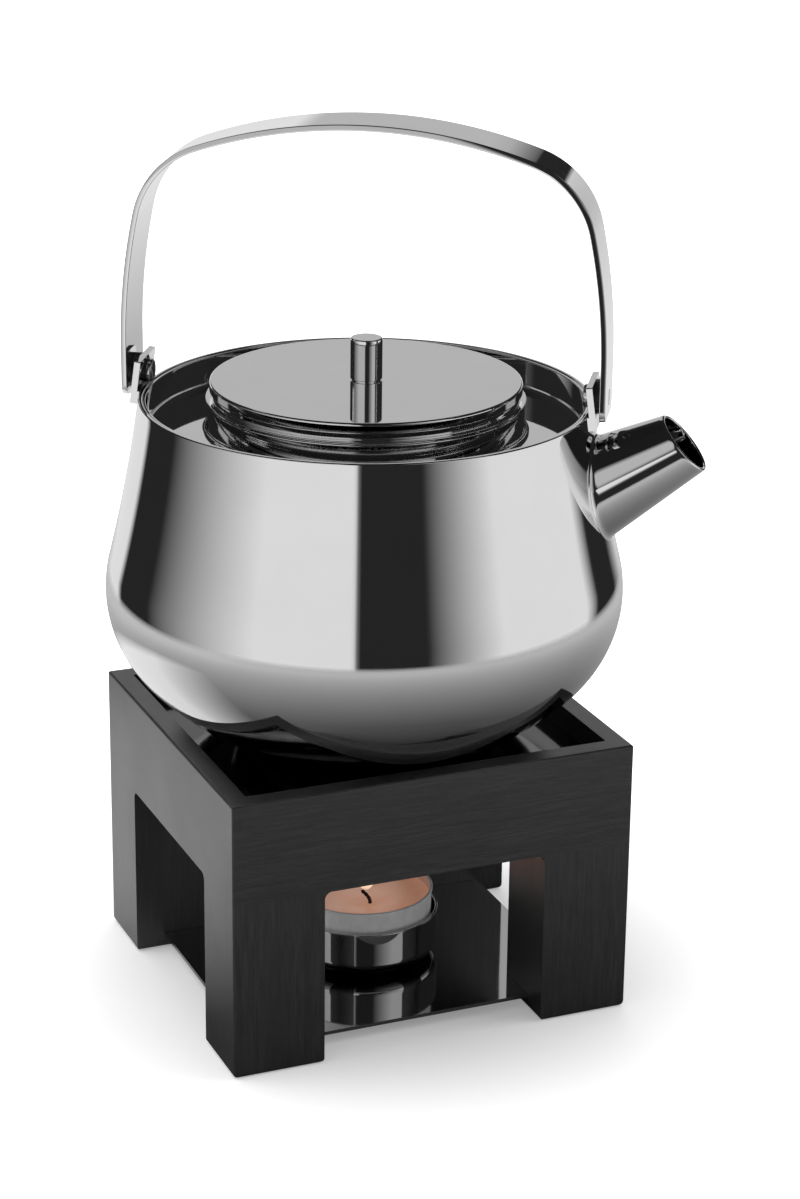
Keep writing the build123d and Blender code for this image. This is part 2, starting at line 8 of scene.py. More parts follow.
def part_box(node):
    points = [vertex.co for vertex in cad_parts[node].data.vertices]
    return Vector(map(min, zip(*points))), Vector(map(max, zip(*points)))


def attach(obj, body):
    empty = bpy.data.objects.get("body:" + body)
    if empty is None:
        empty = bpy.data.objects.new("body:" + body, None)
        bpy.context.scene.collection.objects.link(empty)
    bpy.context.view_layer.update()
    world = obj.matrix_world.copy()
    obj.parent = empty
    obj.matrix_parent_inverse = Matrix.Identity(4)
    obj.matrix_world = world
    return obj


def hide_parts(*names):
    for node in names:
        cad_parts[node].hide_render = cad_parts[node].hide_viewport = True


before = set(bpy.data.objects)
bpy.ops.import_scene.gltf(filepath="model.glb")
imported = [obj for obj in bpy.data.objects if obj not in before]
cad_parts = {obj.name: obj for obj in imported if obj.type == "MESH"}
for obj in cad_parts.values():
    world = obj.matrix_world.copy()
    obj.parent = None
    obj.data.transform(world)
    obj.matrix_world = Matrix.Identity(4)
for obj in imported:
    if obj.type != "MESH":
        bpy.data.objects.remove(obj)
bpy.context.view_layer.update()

MM = 0.001

# Outline sizes in millimetres, the same as in the part
RIM_R = 58.2
RIM_Z = 160.592
PLATE_TOP = 69.0
WALL_T = 1.2
WALL_TOP_SLOPE = -7.8
WALL_LOW_SLOPE = -14.0
WALL_BEND_R = 400.0
CROWN_R = 33.0
CROWN_SLOPE = 45.0
BOWL_R = 80.0
BOWL_SLOPE = 66.5
BASE_EDGE_R = 12.0
LAND_R = 57.0
LAND_H = 3.0
POT_TURN = radians(-32.7)

DECK_Z = 151.992
DECK_T = 0.8
DECK_CORNER_R = 1.6
FLANGE_R = 56.98
NECK_R = 40.6
SEAT_Z = 159.992
MOUTH_R = 35.6

LID_R = 40.0
LID_TOP = 165.192
LID_LIP_R = 41.0
LID_LIP_H = 0.8
LID_BAND_H = 2.4
LID_WAIST = 0.7
LID_T = 1.0
SCREW_HOLE_R = 1.52
SCREW_HOLE_H = 7.02
KNOB_R = 4.1
KNOB_TOP = 176.19
KNOB_FOOT_H = 0.3
KNOB_FOOT_IN = 0.4

SPOUT_RISE = radians(30.5)
SPOUT_TAPER = tan(radians(9.5))
SPOUT_MOUTH_R = 8.5
SPOUT_T = 1.0
SPOUT_REACH = 82.0
SPOUT_MOUTH_Z = 153.292
SPOUT_CUT = radians(41.5)
STRAINER_R = 1.4
STRAINER_PITCH = 4.4
# The holes are cut between these distances back from the spout's mouth
STRAINER_RUN = (36.5, 12.0)
# Weld bead round the spout: how far it stands out, runs along and sinks into the wall
WELD_OUT = 0.6
WELD_RUN = 1.3
WELD_SINK = 0.25

PIN_Z = 164.192
PIN_R = 2.0
PIN_HEAD_R = 3.0
BUSH_START = 57.107
PIVOT_GAP = 0.05
PIN_HEAD_H = 1.2
STRAP_OUT = 62.2
STRAP_FOOT = 159.192
STRAP_W = 17.5
STRAP_T = 1.5
STRAP_END_R = 3.0
# Slopes in degrees that the strap's narrow sides have at their two edges
STRAP_SIDE = (5.0, 30.0)
STRAP_KNEE = 172.692
# Bends above the knee: radius, slope at the start and end, and steps. The last radius is the one
# that closes the arch over the pot's axis
STRAP_BENDS = (
    (160.0, 0.0, 12.4, 24),
    (24.2, 12.4, 70.8, 44),
    (None, 70.8, 90.0, 40),
)

BASE_TOP = 4.4
HOLDER_R = 20.5
HOLDER_WALL = 0.8
HOLDER_RIM = 17.8
HOLDER_EDGE_R = 5.0
FOIL_FLOOR = 5.6
FOIL_R = 18.7
FOIL_T = 0.4
FOIL_LIP = 0.35
FOIL_LIP_H = 0.8
FOIL_EDGE_R = 3.2
FOIL_RIM = 23.4
WAX_TOP = 20.4
WICK_R = 0.55
WICK_RISE = 4.2
WICK_LEAN = 2.6
WICK_IN = (0.2, -5.0)
FLAME_R = 2.9
FLAME_H = 15.5
FLAME_RISE = 3.7
FLAME_IN = 1.2

knob_low, knob_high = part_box("lid_knob")
AXIS_X = (knob_low.x + knob_high.x) / 2.0 / MM
ALONG = Vector((cos(POT_TURN), sin(POT_TURN), 0.0))
ACROSS = Vector((-sin(POT_TURN), cos(POT_TURN), 0.0))
UP = Vector((0.0, 0.0, 1.0))
FOOT = Vector((AXIS_X, 0.0, 0.0))
WICK_FOOT = FOOT + Vector((*WICK_IN, 0.0))


# Meshes from outlines
def new_object(name, verts, faces, sharp=30.0):
    mesh = bpy.data.meshes.new(name)
    mesh.from_pydata([v * MM for v in verts], [], faces)
    mesh.validate()
    mesh.shade_smooth()
    mesh.set_sharp_from_angle(angle=radians(sharp))
    obj = bpy.data.objects.new(name, mesh)
    bpy.context.scene.collection.objects.link(obj)
    return obj


# One bend of an outline as points: start point left out, end point included
def bend(start, slope_in, slope_out, radius, step=1.0):
    side = 1.0 if slope_out > slope_in else -1.0
    count = max(2, ceil(abs(slope_out - slope_in) / step))
    points = []
    for i in range(1, count + 1):
        slope = slope_in + (slope_out - slope_in) * i / count
        out = side * radius * (cos(radians(slope)) - cos(radians(slope_in)))
        down = side * radius * (sin(radians(slope)) - sin(radians(slope_in)))
        points.append((start[0] + out, start[1] - down))
    return points


def wall_points(start, slope_in, depth):
    points = [start]
    for slope_a, slope_b, radius, step in (
        (slope_in, WALL_LOW_SLOPE, WALL_BEND_R + depth, 0.25),
        (WALL_LOW_SLOPE, CROWN_SLOPE, CROWN_R - depth, 1.0),
        (CROWN_SLOPE, BOWL_SLOPE, BOWL_R - depth, 0.7),
        (BOWL_SLOPE, 90.0, BASE_EDGE_R - depth, 1.5),
    ):
        points += bend(points[-1], slope_a, slope_b, radius, step)
    return points


# Rounds the named corners of a closed outline; corners maps index to radius
def rounded(outline, corners, steps=6):
    out = []
    n = len(outline)
    for i, point in enumerate(outline):
        if i not in corners:
            out.append(point)
            continue
        here = Vector(point)
        before = (Vector(outline[i - 1]) - here).normalized()
        after = (Vector(outline[(i + 1) % n]) - here).normalized()
        half = before.angle(after) / 2.0
        reach = corners[i] / tan(half)
        centre = here + (before + after).normalized() * corners[i] / sin(half)
        a = here + before * reach - centre
        b = here + after * reach - centre
        turn = a.angle(b)
        for k in range(steps + 1):
            t = k / steps
            arm = (a * sin((1.0 - t) * turn) + b * sin(t * turn)) / sin(turn)
            out.append(tuple(centre + arm))
    return out


# Adds a point close to each corner of an outline, so that flat parts shade flat
def held(outline, gap=0.12, closed=True):
    out = []
    n = len(outline)
    for i, point in enumerate(outline):
        out.append(point)
        if i == n - 1 and not closed:
            break
        after = Vector(outline[(i + 1) % n])
        here = Vector(point)
        run = after - here
        if run.length > 5.0 * gap:
            out.append(tuple(here + run.normalized() * gap))
            out.append(tuple(after - run.normalized() * gap))
    return out


# Turns an outline of (radius, height) round the vertical axis of the pot
def lathe(name, outline, segments=288, closed=True, centre=None, sharp=30.0):
    centre = centre or FOOT
    verts = []
    rings = []
    for r, z in outline:
        if r < 1e-6:
            rings.append([len(verts)])
            verts.append(centre + UP * z)
            continue
        ring = []
        for k in range(segments):
            a = 2.0 * pi * k / segments
            ring.append(len(verts))
            verts.append(centre + Vector((r * cos(a), r * sin(a), z)))
        rings.append(ring)
    faces = []
    pairs = list(zip(rings, rings[1:]))
    if closed:
        pairs.append((rings[-1], rings[0]))
    for low, high in pairs:
        if len(low) == 1 and len(high) == 1:
            continue
        for k in range(segments):
            m = (k + 1) % segments
            if len(low) == 1:
                faces.append((low[0], high[k], high[m]))
            elif len(high) == 1:
                faces.append((low[k], high[0], low[m]))
            else:
                faces.append((low[k], high[k], high[m], low[m]))
    obj = new_object(name, verts, faces, sharp)
    fix_normals(obj)
    return obj


def fix_normals(obj):
    bm = bmesh.new()
    bm.from_mesh(obj.data)
    bmesh.ops.recalc_face_normals(bm, faces=bm.faces)
    bm.to_mesh(obj.data)
    bm.free()


def cut(obj, cutter):
    mod = obj.modifiers.new("cut", "BOOLEAN")
    mod.operation = "DIFFERENCE"
    mod.solver = "EXACT"
    mod.object = cutter
    bpy.context.view_layer.update()
    graph = bpy.context.evaluated_depsgraph_get()
    mesh = bpy.data.meshes.new_from_object(obj.evaluated_get(graph))
    obj.modifiers.clear()
    obj.data = mesh
    mesh.shade_smooth()
    mesh.set_sharp_from_angle(angle=radians(30.0))
    bpy.data.objects.remove(cutter)


# A closed tube of a given radius along a line, used to cut holes
def rod(verts, faces, start, end, radius, sides=40):
    line = (end - start).normalized()
    e1 = line.orthogonal().normalized()
    e2 = line.cross(e1)
    first = len(verts)
    for place in (start, end):
        for k in range(sides):
            a = 2.0 * pi * k / sides
            verts.append(place + (e1 * cos(a) + e2 * sin(a)) * radius)
    for k in range(sides):
        m = (k + 1) % sides
        faces.append((first + k, first + m, first + sides + m, first + sides + k))
    faces.append(tuple(first + k for k in reversed(range(sides))))
    faces.append(tuple(first + sides + k for k in range(sides)))


# Pot body with its strainer holes
outer = wall_points((RIM_R, RIM_Z), WALL_TOP_SLOPE, 0.0)
inner_start = (
    RIM_R - WALL_T * cos(radians(WALL_TOP_SLOPE)),
    RIM_Z + WALL_T * sin(radians(WALL_TOP_SLOPE)),
)
land_drop = LAND_H + WALL_T * sin(radians(WALL_TOP_SLOPE))
land_slope = degrees(asin(sin(radians(WALL_TOP_SLOPE)) - land_drop / (WALL_BEND_R + WALL_T)))
land_point = bend(inner_start, WALL_TOP_SLOPE, land_slope, WALL_BEND_R + WALL_T, 10.0)[-1]
inner = wall_points(land_point, land_slope, WALL_T)


def pot_outline():
    rim_edge = 0.4
    top = rounded(
        [outer[3], (RIM_R, RIM_Z), (LAND_R, RIM_Z), (LAND_R, land_point[1])],
        {1: rim_edge, 2: rim_edge},
        8,
    )[1:-1]
    outer_side = [p for p in outer[1:] if p[1] < RIM_Z - 2.0 * rim_edge]
    base = [(p, PLATE_TOP) for p in (27.0, 20.0, 10.0, 0.0)]
    floor_z = inner[-1][1]
    inside = [(0.0, floor_z), (12.0, floor_z), (22.0, floor_z)] + inner[::-1]
    land = [(LAND_R, land_point[1])]
    return outer_side + base + inside + land + top[::-1]


spout_mouth = FOOT + ALONG * SPOUT_REACH + UP * SPOUT_MOUTH_Z
spout_dir = ALONG * cos(SPOUT_RISE) + UP * sin(SPOUT_RISE)
spout_side = ACROSS
spout_up = spout_dir.cross(spout_side)
mouth_normal = ALONG * cos(SPOUT_CUT) + UP * sin(SPOUT_CUT)

pot_shell = lathe("pot_shell", pot_outline(), 300, closed=True)
hole_verts = []
hole_faces = []
rings_of_holes = (
    (1, 0.0),
    (6, STRAINER_PITCH),
    (12, 2.0 * STRAINER_PITCH * cos(radians(15.0))),
)
for count, radius in rings_of_holes:
    for k in range(count):
        a = 2.0 * pi * k / count
        place = spout_mouth + (spout_side * cos(a) + spout_up * sin(a)) * radius
        start, end = (place - spout_dir * back for back in STRAINER_RUN)
        rod(hole_verts, hole_faces, start, end, STRAINER_R, 24)
cutter = new_object("strainer_cutter", hole_verts, hole_faces)
fix_normals(cutter)
cut(pot_shell, cutter)
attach(pot_shell, "pot")
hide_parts("pot_body")


# Deck pressing with its neck
deck_outline = rounded(
    [
        (FLANGE_R, RIM_Z - 0.3),
        (FLANGE_R, DECK_Z - DECK_T),
        (NECK_R - DECK_T, DECK_Z - DECK_T),
        (NECK_R - DECK_T, SEAT_Z - DECK_T),
        (MOUTH_R, SEAT_Z - DECK_T),
        (MOUTH_R, SEAT_Z),
        (NECK_R, SEAT_Z),
        (NECK_R, DECK_Z),
        (FLANGE_R - DECK_T, DECK_Z),
        (FLANGE_R - DECK_T, RIM_Z - 0.3),
    ],
    {
        0: 0.25,
        1: DECK_CORNER_R + DECK_T,
        2: DECK_CORNER_R,
        5: 0.25,
        6: 0.5,
        7: DECK_CORNER_R,
        8: DECK_CORNER_R,
        9: 0.25,
    },
    10,
)
deck_ring = lathe("deck_ring", held(deck_outline), 288)
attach(deck_ring, "pot")
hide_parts("pot_deck")

# Lid cap
waist_r = LID_R - LID_WAIST
lid_outline = rounded(
    [
        (SCREW_HOLE_R, LID_TOP),
        (LID_R, LID_TOP),
        (LID_R, LID_TOP - LID_BAND_H),
        (waist_r, LID_TOP - LID_BAND_H - LID_WAIST),
        (waist_r, SEAT_Z + LID_LIP_H),
        (LID_LIP_R, SEAT_Z + LID_LIP_H),
        (LID_LIP_R, SEAT_Z),
        (waist_r - LID_T, SEAT_Z),
        (waist_r - LID_T, LID_TOP - LID_T),
        (SCREW_HOLE_R, LID_TOP - LID_T),
    ],
    {1: 0.6, 2: 0.25, 4: 0.2, 5: 0.25, 6: 0.15},
    8,
)
lid_dish = lathe("lid_dish", held(lid_outline), 288)
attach(lid_dish, "lid")
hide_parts("lid_cap")

# Knob
knob_in = KNOB_R - KNOB_FOOT_IN
knob_outline = rounded(
    [
        (0.0, KNOB_TOP),
        (KNOB_R, KNOB_TOP),
        (KNOB_R, LID_TOP + KNOB_FOOT_H),
        (knob_in, LID_TOP + KNOB_FOOT_H),
        (knob_in, LID_TOP),
        (SCREW_HOLE_R, LID_TOP),
        (SCREW_HOLE_R, LID_TOP + SCREW_HOLE_H),
        (0.0, LID_TOP + SCREW_HOLE_H),
    ],
    {1: 0.4, 2: 0.15},
    8,
)
knob_outline = held(knob_outline, 0.1, closed=False)
knob_post = lathe("knob_post", knob_outline, 128, closed=False)
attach(knob_post, "lid")
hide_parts("lid_knob")


# Spout, as rings round its axis
def wall_radius(z):
    if z >= outer[0][1]:
        return outer[0][0]
    for a, b in zip(outer, outer[1:]):
        if b[1] <= z <= a[1]:
            return a[0] + (b[0] - a[0]) * (a[1] - z) / (a[1] - b[1])
    return outer[-1][0]


def cone_point(back, angle, extra):
    spoke = spout_side * cos(angle) + spout_up * sin(angle)
    return spout_mouth - spout_dir * back + spoke * (SPOUT_MOUTH_R + back * SPOUT_TAPER + extra)


def back_at_mouth(angle, extra):
    spoke = spout_side * cos(angle) + spout_up * sin(angle)
    lean = spoke.dot(mouth_normal)
    return (SPOUT_MOUTH_R + extra) * lean / (spout_dir.dot(mouth_normal) - SPOUT_TAPER * lean)


def back_at_wall(angle, extra, depth=0.0):
    near = -8.0
    far = 60.0
    for _ in range(40):
        middle = (near + far) / 2.0
        p = cone_point(middle, angle, extra) - FOOT
        if sqrt(p.x**2 + p.y**2) > wall_radius(p.z) - depth:
            near = middle
        else:
            far = middle
    return (near + far) / 2.0


def make_spout():
    sides = 144
    weld_steps = 5
    run_steps = 34
    lip_steps = 10
    lip_r = SPOUT_T / 2.0
    columns = []
    for k in range(sides):
        angle = 2.0 * pi * k / sides
        column = [cone_point(back_at_wall(angle, WELD_OUT, WELD_SINK), angle, WELD_OUT)]
        for j in range(weld_steps + 1):
            t = j / weld_steps
            extra = WELD_OUT * (1.0 - t) ** 2
            back = back_at_wall(angle, extra) - WELD_RUN * t**1.2
            column.append(cone_point(back, angle, extra))
        wall_back = back_at_wall(angle, 0.0) - WELD_RUN
        lip_back = back_at_mouth(angle, 0.0) + lip_r
        for j in range(1, run_steps + 1):
            back = wall_back + (lip_back - wall_back) * j / run_steps
            column.append(cone_point(back, angle, 0.0))
        for j in range(1, lip_steps):
            a = pi * j / lip_steps
            extra = -lip_r + lip_r * cos(a)
            back = back_at_mouth(angle, extra) + lip_r * (1.0 - sin(a))
            column.append(cone_point(back, angle, extra))
        inner_lip = back_at_mouth(angle, -SPOUT_T) + lip_r
        inner_wall = back_at_wall(angle, -SPOUT_T, WELD_SINK)
        for j in range(run_steps + 1):
            back = inner_lip + (inner_wall - inner_lip) * j / run_steps
            column.append(cone_point(back, angle, -SPOUT_T))
        columns.append(column)
    length = len(columns[0])
    verts = [v for column in columns for v in column]
    faces = []
    for k in range(sides):
        m = (k + 1) % sides
        for j in range(length):
            n = (j + 1) % length
            faces.append((k * length + j, m * length + j, m * length + n, k * length + n))
    obj = new_object("spout_tube", verts, faces, 50.0)
    fix_normals(obj)
    first_inside = weld_steps + run_steps + lip_steps + 1
    for face in obj.data.polygons:
        if all(v % length >= first_inside for v in face.vertices):
            face.material_index = 1
    return obj


spout_tube = make_spout()
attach(spout_tube, "pot")
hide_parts("spout")


# Bail strap: points of its outer face, each with the outward slope there
def strap_stations():
    stations = []
    for i in range(9):
        angle = (pi / 2.0) * i / 8
        stations.append((STRAP_OUT, STRAP_FOOT + STRAP_END_R * (1.0 - cos(angle)), 0.0))
    start_z = STRAP_FOOT + STRAP_END_R
    for i in range(1, 13):
        stations.append((STRAP_OUT, start_z + (STRAP_KNEE - start_z) * i / 12, 0.0))
    x, z = STRAP_OUT, STRAP_KNEE
    for radius, slope_a, slope_b, count in STRAP_BENDS:
        radius = radius or x / cos(radians(slope_a))
        for i in range(1, count + 1):
            s = slope_a + (slope_b - slope_a) * i / count
            px = x + radius * (cos(radians(s)) - cos(radians(slope_a)))
            pz = z + radius * (sin(radians(s)) - sin(radians(slope_a)))
            stations.append((px, pz, s))
        x, z = stations[-1][0], stations[-1][1]
    return stations


# Section of the strap as (across, outward) pairs: flat faces, slightly crowned sides that
# lean in towards the outer face
def strap_section(half_w):
    low, high = (radians(a) for a in STRAP_SIDE)
    crown_r = STRAP_T / (sin(high) - sin(low))
    side = []
    for j in range(9):
        a = high + (low - high) * j / 8.0
        side.append((half_w - crown_r * (1.0 - cos(a)), crown_r * (sin(a) - sin(high))))
    other = [(-w, t) for w, t in side[::-1]]
    corner = 0.12
    return held(rounded(side + other, {0: corner, 8: corner, 9: corner, 17: corner}, 4))


def make_strap():
    half = strap_stations()
    mirrored = [(-x, z, 180.0 - s) for x, z, s in half[:-1]]
    stations = half + mirrored[::-1]
    verts = []
    for x, z, slope in stations:
        half_w = STRAP_W / 2.0
        drop = z - STRAP_FOOT
        if drop < STRAP_END_R:
            reach = sqrt(max(0.0, STRAP_END_R**2 - (STRAP_END_R - drop) ** 2))
            half_w += reach - STRAP_END_R
        out = ALONG * cos(radians(slope)) + UP * sin(radians(slope))
        place = FOOT + ALONG * x + UP * z
        section = strap_section(half_w)
        verts += [place + ACROSS * w + out * t for w, t in section]
    loop = len(section)
    count = len(stations)
    faces = []
    for i in range(count - 1):
        for j in range(loop):
            n = (j + 1) % loop
            faces.append((i * loop + j, i * loop + n, (i + 1) * loop + n, (i + 1) * loop + j))
    faces.append(tuple(range(loop)))
    faces.append(tuple((count - 1) * loop + j for j in reversed(range(loop))))
    obj = new_object("bail_band", verts, faces, 40.0)
    fix_normals(obj)
    return obj


bail_band = make_strap()
hole_verts = []
hole_faces = []
for side in (1.0, -1.0):
    start = FOOT + ALONG * (side * 59.0) + UP * PIN_Z
    rod(hole_verts, hole_faces, start, start + ALONG * (side * 5.0), PIN_R, 64)
cutter = new_object("pin_cutter", hole_verts, hole_faces)
fix_normals(cutter)
cut(bail_band, cutter)
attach(bail_band, "bail")
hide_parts("bail_strap")


# Pivot pins, turned along the pivot line, with a softly domed outer end
def make_pins():
    head_face = BUSH_START - PIVOT_GAP
    outline = rounded(
        [
            (0.0, head_face - PIN_HEAD_H),
            (PIN_HEAD_R, head_face - PIN_HEAD_H),
            (PIN_HEAD_R, head_face),
            (PIN_R - 0.06, head_face),
            (PIN_R - 0.06, STRAP_OUT - 0.02),
            (0.0, STRAP_OUT - 0.02),
        ],
        {1: 0.4, 2: 0.15, 4: 0.25},
        6,
    )
    segments = 64
    verts = []
    faces = []
    for side in (1.0, -1.0):
        first_ring = []
        for r, u in outline:
            centre = FOOT + ALONG * (side * u) + UP * PIN_Z
            if r < 1e-6:
                first_ring.append([len(verts)])
                verts.append(centre)
                continue
            ring = []
            for k in range(segments):
                a = 2.0 * pi * k / segments
                ring.append(len(verts))
                verts.append(centre + (ACROSS * cos(a) + UP * sin(a)) * r)
            first_ring.append(ring)
        for low, high in zip(first_ring, first_ring[1:]):
            for k in range(segments):
                m = (k + 1) % segments
                if len(low) == 1:
                    faces.append((low[0], high[k], high[m]))
                elif len(high) == 1:
                    faces.append((low[k], high[0], low[m]))
                else:
                    faces.append((low[k], high[k], high[m], low[m]))
    obj = new_object("bail_pivots", verts, faces, 30.0)
    fix_normals(obj)
    return obj


bail_pivots = make_pins()
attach(bail_pivots, "bail")
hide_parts("bail_pins")

# Holder cup for the tealight
holder_in = HOLDER_R - HOLDER_WALL
holder_outline = rounded(
    [
        (0.0, BASE_TOP),
        (HOLDER_R, BASE_TOP),
        (HOLDER_R, HOLDER_RIM),
        (holder_in, HOLDER_RIM),
        (holder_in, BASE_TOP + HOLDER_WALL),
        (0.0, BASE_TOP + HOLDER_WALL),
    ],
    {1: HOLDER_EDGE_R, 2: 0.3, 3: 0.3, 4: HOLDER_EDGE_R - HOLDER_WALL},
    16,
)
holder_outline = held(holder_outline, 0.1, closed=False)
holder_cup = lathe("holder_cup", holder_outline, 240, closed=False)
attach(holder_cup, "stand")
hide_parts("tealight_holder")

# Foil cup with a rolled lip, and the wax in it
foil_in = FOIL_R - FOIL_T
foil_outline = rounded(
    [
        (0.0, FOIL_FLOOR),
        (FOIL_R, FOIL_FLOOR),
        (FOIL_R, FOIL_RIM - FOIL_LIP_H),
        (FOIL_R + FOIL_LIP, FOIL_RIM - FOIL_LIP_H),
        (FOIL_R + FOIL_LIP, FOIL_RIM),
        (foil_in, FOIL_RIM),
        (foil_in, FOIL_FLOOR + FOIL_T),
        (0.0, FOIL_FLOOR + FOIL_T),
    ],
    {1: FOIL_EDGE_R, 3: 0.15, 4: 0.3, 5: 0.3, 6: FOIL_EDGE_R - FOIL_T},
    10,
)
foil_outline = held(foil_outline, 0.1, closed=False)
foil_cup = lathe("foil_cup", foil_outline, 240, closed=False)
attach(foil_cup, "tealight")
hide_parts("tealight_cup")

wax_r = foil_in - 0.03
wax_floor = FOIL_FLOOR + FOIL_T + 0.35
wax_points = [
    (0.0, wax_floor),
    (wax_r - 3.0, wax_floor),
    (wax_r - 0.7, wax_floor + 1.2),
    (wax_r, wax_floor + 3.2),
    (wax_r, WAX_TOP),
]
for i in range(1, 25):
    r = wax_r * (1.0 - i / 24.0)
    climb = 0.35 * (1.0 - min(1.0, (wax_r - r) / 1.6)) ** 2
    dip = -0.25 * max(0.0, 1.0 - abs(r - 7.0) / 9.0)
    wax_points.append((max(r, 0.0), WAX_TOP - 0.3 + climb + dip))
wax_pool = lathe("wax_pool", wax_points, 160, closed=False)
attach(wax_pool, "tealight")
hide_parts("wax")
wax_pool.visible_glossy = False


# Wick: a thin bent rope, a little thicker where it is burnt
def make_wick():
    sides = 20
    path = []
    for i in range(8):
        rise = (WAX_TOP - FOIL_FLOOR - 0.5) * i / 8
        path.append(WICK_FOOT + UP * (FOIL_FLOOR + 0.5 + rise))
    for i in range(13):
        t = i / 12
        lean = (WICK_LEAN - 0.2) * t**1.6
        path.append(WICK_FOOT + Vector((-lean, 0.0, WAX_TOP + (WICK_RISE - 0.6) * t)))
    verts = []
    faces = []
    for i, place in enumerate(path):
        ahead = path[min(i + 1, len(path) - 1)] - path[max(i - 1, 0)]
        line = ahead.normalized()
        e1 = ACROSS.cross(line).normalized()
        e2 = line.cross(e1)
        share = i / (len(path) - 1)
        radius = WICK_R * (0.86 + 0.14 * sin(i * 1.7) * share)
        if i == len(path) - 1:
            radius *= 0.55
        for k in range(sides):
            a = 2.0 * pi * k / sides + i * 0.35
            bulge = 1.0 + 0.1 * cos(3.0 * a)
            verts.append(place + (e1 * cos(a) + e2 * sin(a)) * radius * bulge)
    for i in range(len(path) - 1):
        for k in range(sides):
            m = (k + 1) % sides
            faces.append((i * sides + k, i * sides + m, (i + 1) * sides + m, (i + 1) * sides + k))
    faces.append(tuple(reversed(range(sides))))
    faces.append(tuple((len(path) - 1) * sides + k for k in range(sides)))
    obj = new_object("wick_rope", verts, faces, 60.0)
    fix_normals(obj)
    return obj, path[-1]


wick_rope, wick_tip = make_wick()
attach(wick_rope, "tealight")
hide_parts("wick")

# Flame: a tear drop round the end of the wick
flame_points = []
for i in range(33):
    t = i / 32
    r = FLAME_R * sin(pi * t**0.62) * (1.0 - 0.55 * t) if 0 < i < 32 else 0.0
    flame_points.append((r, WAX_TOP + FLAME_RISE + FLAME_H * t))
flame_foot = Vector((wick_tip.x + FLAME_IN, wick_tip.y, 0.0))
flame = lathe("flame", flame_points, 64, closed=False, centre=flame_foot)
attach(flame, "tealight")
flame.visible_diffuse = False
flame.visible_glossy = False


# Materials
def material(name):
    mat = bpy.data.materials.new(name)
    mat.use_nodes = True
    tree = mat.node_tree
    return mat, tree, tree.nodes["Principled BSDF"]


def link(tree, a, b):
    tree.links.new(a, b)


def node(tree, kind, **values):
    made = tree.nodes.new(kind)
    for key, value in values.items():
        setattr(made, key, value)
    return made


def coordinates(tree, scale, rotation=(0.0, 0.0, 0.0), output="Object"):
    source = node(tree, "ShaderNodeTexCoord")
    mapping = node(tree, "ShaderNodeMapping")
    mapping.inputs["Scale"].default_value = scale
    mapping.inputs["Rotation"].default_value = rotation
    link(tree, source.outputs[output], mapping.inputs["Vector"])
    return mapping.outputs["Vector"]


def noise(tree, vector, scale, detail=4.0, rough=0.5):
    made = node(tree, "ShaderNodeTexNoise")
    made.inputs["Scale"].default_value = scale
    made.inputs["Detail"].default_value = detail
    made.inputs["Roughness"].default_value = rough
    link(tree, vector, made.inputs["Vector"])
    return made.outputs["Fac"]


def ramp(tree, value, low, high, start=0.3, end=0.7):
    made = node(tree, "ShaderNodeMapRange")
    made.inputs["From Min"].default_value = start
    made.inputs["From Max"].default_value = end
    made.inputs["To Min"].default_value = low
    made.inputs["To Max"].default_value = high
    link(tree, value, made.inputs["Value"])
    return made.outputs["Result"]


def mixed(tree, factor, a, b):
    made = node(tree, "ShaderNodeMix", data_type="RGBA")
    made.inputs["A"].default_value = (*a, 1.0)
    made.inputs["B"].default_value = (*b, 1.0)
    link(tree, factor, made.inputs["Factor"])
    return made.outputs["Result"]


def bump(tree, shader, height, strength, distance):
    made = node(tree, "ShaderNodeBump")
    made.inputs["Strength"].default_value = strength
    made.inputs["Distance"].default_value = distance
    link(tree, height, made.inputs["Height"])
    link(tree, made.outputs["Normal"], shader.inputs["Normal"])


# Polished steel: near mirror, with very fine polishing haze and slight tint changes
def steel(name, tint, rough_low, rough_high, wave=0.0, metal=1.0):
    mat, tree, shader = material(name)
    vector = coordinates(tree, (1.0, 1.0, 1.0))
    cloud = noise(tree, vector, 60.0, 3.0)
    shade = mixed(
        tree,
        ramp(tree, cloud, 0.0, 1.0),
        tint,
        tuple(c * 0.97 for c in tint),
    )
    link(tree, shade, shader.inputs["Base Color"])
    shader.inputs["Metallic"].default_value = metal
    fine = noise(tree, coordinates(tree, (1.0, 1.0, 0.25)), 900.0, 3.0, 0.6)
    link(tree, ramp(tree, fine, rough_low, rough_high), shader.inputs["Roughness"])
    if wave:
        slow = noise(tree, vector, 28.0, 1.0)
        bump(tree, shader, slow, wave, 0.0004)
    return mat


mirror_steel = steel("mirror_steel_look", (0.87, 0.87, 0.87), 0.015, 0.045)
plate_steel = steel("plate_steel_look", (0.58, 0.58, 0.58), 0.03, 0.07, 0.25)
pin_steel = steel("pin_steel_look", (0.7, 0.7, 0.7), 0.08, 0.16)
inside_steel = steel("inside_steel_look", (0.62, 0.62, 0.62), 0.3, 0.42, 0.0, 0.93)
blackened_steel = steel("blackened_steel_look", (0.13, 0.13, 0.13), 0.06, 0.12, 0.25)
screw_steel = steel("screw_steel_look", (0.65, 0.65, 0.65), 0.18, 0.3)
clip_metal = steel("clip_metal_look", (0.6, 0.6, 0.6), 0.25, 0.4)


